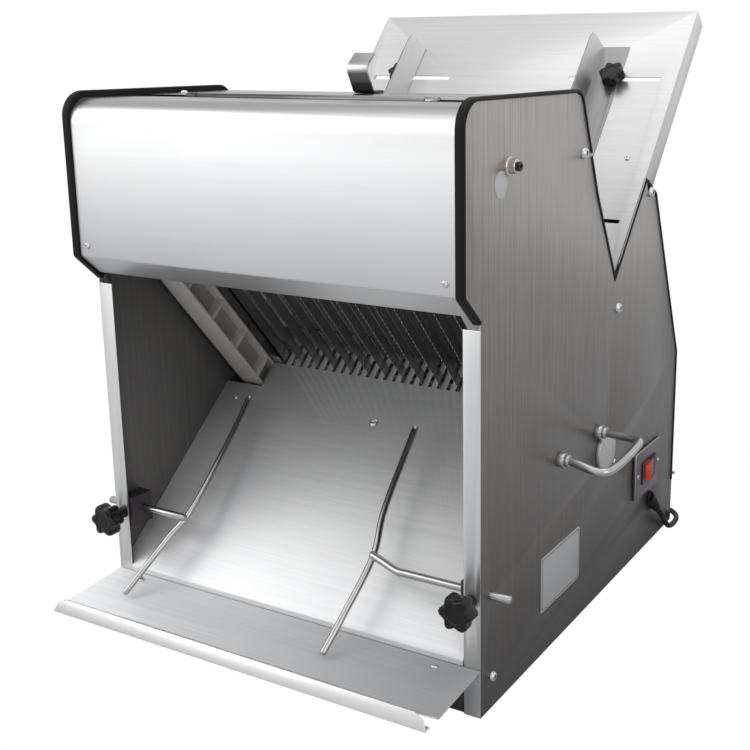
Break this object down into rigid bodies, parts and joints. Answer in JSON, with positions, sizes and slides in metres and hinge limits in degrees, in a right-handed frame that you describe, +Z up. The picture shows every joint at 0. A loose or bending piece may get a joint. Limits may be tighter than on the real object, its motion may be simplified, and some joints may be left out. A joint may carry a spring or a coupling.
{
  "type": "commercial bread slicer",
  "caption": "Bench bread slicer with an inclined infeed plate, paired reciprocating blade frames under a hood, a sloping slotted chute, an outfeed tray and a crumb drawer.",
  "frame": {"origin": "middle of the footprint on the bench, measured without the mains lead", "axes": "+Z up, -Y towards the operator at the outfeed tray, +X towards the switch side"},
  "size_m": [0.5758, 0.7877, 0.6607],
  "materials": {
    "brushed": "vertical brushed stainless",
    "bright": "fine brushed bright stainless",
    "dark": "dark satin paint",
    "rubber": "matt black",
    "plastic": "glossy black moulded",
    "cast": "brown-grey painted casting",
    "steel": "turned bright steel",
    "red": "translucent red",
    "paint": "blue-grey satin paint"
  },
  "bodies": {
    "housing": {"side_panel_right": "brushed", "side_panel_left": "brushed", "outfeed_tray": "brushed", "rear_cover": "brushed", "hood_cover": "bright", "top_strip_right": "bright", "top_strip_left": "bright", "infeed_plate": "bright", "chute_floor": "bright", "shaft_end_cap": "bright", "frame_plate_right": "dark", "frame_plate_left": "dark", "guide_post_right": "dark", "guide_post_left": "dark", "drive_beam": "dark", "base_plate": "dark", "front_beam": "dark", "edge_trim_right": "rubber", "edge_trim_left": "rubber", "foot_strip_right": "rubber", "foot_strip_left": "rubber", "drive_belt": "rubber", "cord_gland": "rubber", "cord_run": "rubber", "cord_coil": "rubber", "rocker_bezel": "plastic", "switch_plate": "plastic", "mains_plug": "plastic", "shaft_bearing_right": "cast", "shaft_bearing_left": "cast", "clamp_block_right": "steel", "clamp_block_left": "steel", "flap_hinge_pin": "steel", "side_handle_right": "steel", "side_handle_left": "steel", "motor_body": "paint"},
    "hold_down_flap": {"hold_down_flap": "bright", "strap_handle": "bright"},
    "blade_carriage_front": {"blade_frame_front": "cast", "blade_set_front": "steel"},
    "blade_carriage_rear": {"blade_frame_rear": "cast", "blade_set_rear": "steel"},
    "connecting_rod_front": {"connecting_rod_front": "steel"},
    "connecting_rod_rear": {"connecting_rod_rear": "steel"},
    "crankshaft": {"crankshaft": "steel", "crank_pulley": "cast"},
    "motor_rotor": {"motor_shaft": "steel", "motor_pulley": "cast"},
    "crumb_drawer": {"crumb_drawer": "dark"},
    "star_knob_right": {"star_knob_right": "plastic"},
    "star_knob_left": {"star_knob_left": "plastic"},
    "guide_rod_right": {"guide_rod_right": "steel"},
    "guide_rod_left": {"guide_rod_left": "steel"},
    "loaf_guide_right": {"loaf_guide_right": "bright", "guide_nut_right": "steel"},
    "loaf_guide_left": {"loaf_guide_left": "bright", "guide_nut_left": "steel"},
    "guide_knob_right": {"guide_knob_right": "plastic"},
    "guide_knob_left": {"guide_knob_left": "plastic"},
    "rocker_switch": {"rocker_switch": "red"}
  },
  "joints": [
    {"name": "flap_hinge", "type": "hinge", "parent": "housing", "child": "hold_down_flap", "pos_m": [0, -0.18043, 0.5695], "axis": [1, 0, 0], "range_deg": [0, 65]},
    {"name": "blade_front_slide", "type": "slide", "parent": "housing", "child": "blade_carriage_front", "axis": [0, -0.6547, 0.7559], "range_m": [-0.012, 0.012]},
    {"name": "blade_rear_slide", "type": "slide", "parent": "housing", "child": "blade_carriage_rear", "axis": [0, -0.6547, 0.7559], "range_m": [-0.012, 0.012]},
    {"name": "connecting_rod_front_swing", "type": "hinge", "parent": "blade_carriage_front", "child": "connecting_rod_front", "pos_m": [0, -0.00899, 0.19526], "axis": [1, 0, 0], "range_deg": [0, 32]},
    {"name": "connecting_rod_rear_swing", "type": "hinge", "parent": "blade_carriage_rear", "child": "connecting_rod_rear", "pos_m": [0, 0.04543, 0.24241], "axis": [1, 0, 0], "range_deg": [-32, 0]},
    {"name": "crank_spin", "type": "hinge", "parent": "housing", "child": "crankshaft", "pos_m": [0, 0.04642, 0.17711], "axis": [1, 0, 0], "continuous": true},
    {"name": "motor_spin", "type": "hinge", "parent": "housing", "child": "motor_rotor", "pos_m": [0, 0.19257, 0.082], "axis": [1, 0, 0], "continuous": true},
    {"name": "crumb_drawer_slide", "type": "slide", "parent": "housing", "child": "crumb_drawer", "axis": [0, -1, 0], "range_m": [0, 0.3]},
    {"name": "star_knob_right_turn", "type": "hinge", "parent": "housing", "child": "star_knob_right", "pos_m": [0.218, -0.24743, 0.121], "axis": [0, -1, 0], "range_deg": [0, 360]},
    {"name": "star_knob_left_turn", "type": "hinge", "parent": "housing", "child": "star_knob_left", "pos_m": [-0.218, -0.24743, 0.121], "axis": [0, -1, 0], "range_deg": [0, 360]},
    {"name": "guide_rod_right_slide", "type": "slide", "parent": "housing", "child": "guide_rod_right", "axis": [1, 0, 0], "range_m": [-0.018, 0.075]},
    {"name": "guide_rod_left_slide", "type": "slide", "parent": "housing", "child": "guide_rod_left", "axis": [-1, 0, 0], "range_m": [-0.03, 0.02]},
    {"name": "loaf_guide_right_slide", "type": "slide", "parent": "housing", "child": "loaf_guide_right", "axis": [1, 0, 0], "range_m": [-0.05, 0.035]},
    {"name": "loaf_guide_left_slide", "type": "slide", "parent": "housing", "child": "loaf_guide_left", "axis": [-1, 0, 0], "range_m": [-0.065, 0.025]},
    {"name": "guide_knob_right_turn", "type": "hinge", "parent": "loaf_guide_right", "child": "guide_knob_right", "pos_m": [0.147, 0.25251, 0.57933], "axis": [0, -0.7466, 0.6652], "range_deg": [0, 360]},
    {"name": "guide_knob_left_turn", "type": "hinge", "parent": "loaf_guide_left", "child": "guide_knob_left", "pos_m": [-0.1595, 0.25251, 0.57933], "axis": [0, -0.7466, 0.6652], "range_deg": [0, 360]},
    {"name": "rocker_switch_tilt", "type": "hinge", "parent": "housing", "child": "rocker_switch", "pos_m": [0.2328, 0.18357, 0.1105], "axis": [0, 0, -1], "range_deg": [0, 25]}
  ],
  "couplings": [
    {"joint": "blade_rear_slide", "follows": "blade_front_slide", "ratio": -1},
    {"joint": "motor_spin", "follows": "crank_spin", "ratio": 2.4423}
  ]
}
